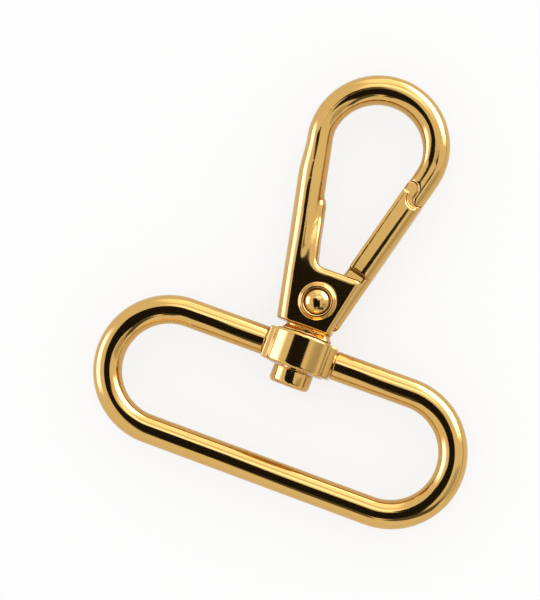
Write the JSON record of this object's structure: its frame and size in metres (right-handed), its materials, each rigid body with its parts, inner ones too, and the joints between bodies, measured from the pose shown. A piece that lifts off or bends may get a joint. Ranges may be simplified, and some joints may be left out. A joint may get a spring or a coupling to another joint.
{
  "type": "swivel snap hook",
  "caption": "Swivel snap hook with a sprung gate and an oblong strap ring, which clips a flat strap to a loop or ring.",
  "frame": {"origin": "centre of the strap slot, in the middle plane of the ring's bar", "axes": "+Y along the swivel axis from the strap slot to the hook's eye, +Z out of the front with the rivet's domed head, +X to the gate's side"},
  "size_m": [0.0454, 0.0505, 0.0086],
  "materials": {
    "gold_plating": "mirror polished and plated",
    "gold_plating_gate": "mirror polished and plated",
    "gold_plating_rivet": "mirror polished and plated",
    "gold_plating_stud": "mirror polished and plated",
    "gold_plating_ring": "mirror polished and plated",
    "spring_steel": "drawn wire"
  },
  "bodies": {
    "hook": {"hook_body": "gold_plating", "gate_rivet": "gold_plating_rivet", "gate_spring": "spring_steel", "swivel_stud": "gold_plating_stud"},
    "gate": {"gate": "gold_plating_gate"},
    "ring": {"swivel_ring": "gold_plating_ring"}
  },
  "joints": [
    {"name": "gate_pivot", "type": "hinge", "parent": "hook", "child": "gate", "pos_m": [0, 0.0134, 0], "axis": [0, 0, 1], "range_deg": [0, 28], "stiffness_Nm_per_rad": 0.03, "springref_deg": -40.11, "deforming": ["gate_spring"]},
    {"name": "swivel", "type": "hinge", "parent": "hook", "child": "ring", "pos_m": [0, 0.0072, 0], "axis": [0, 1, 0], "continuous": true}
  ]
}
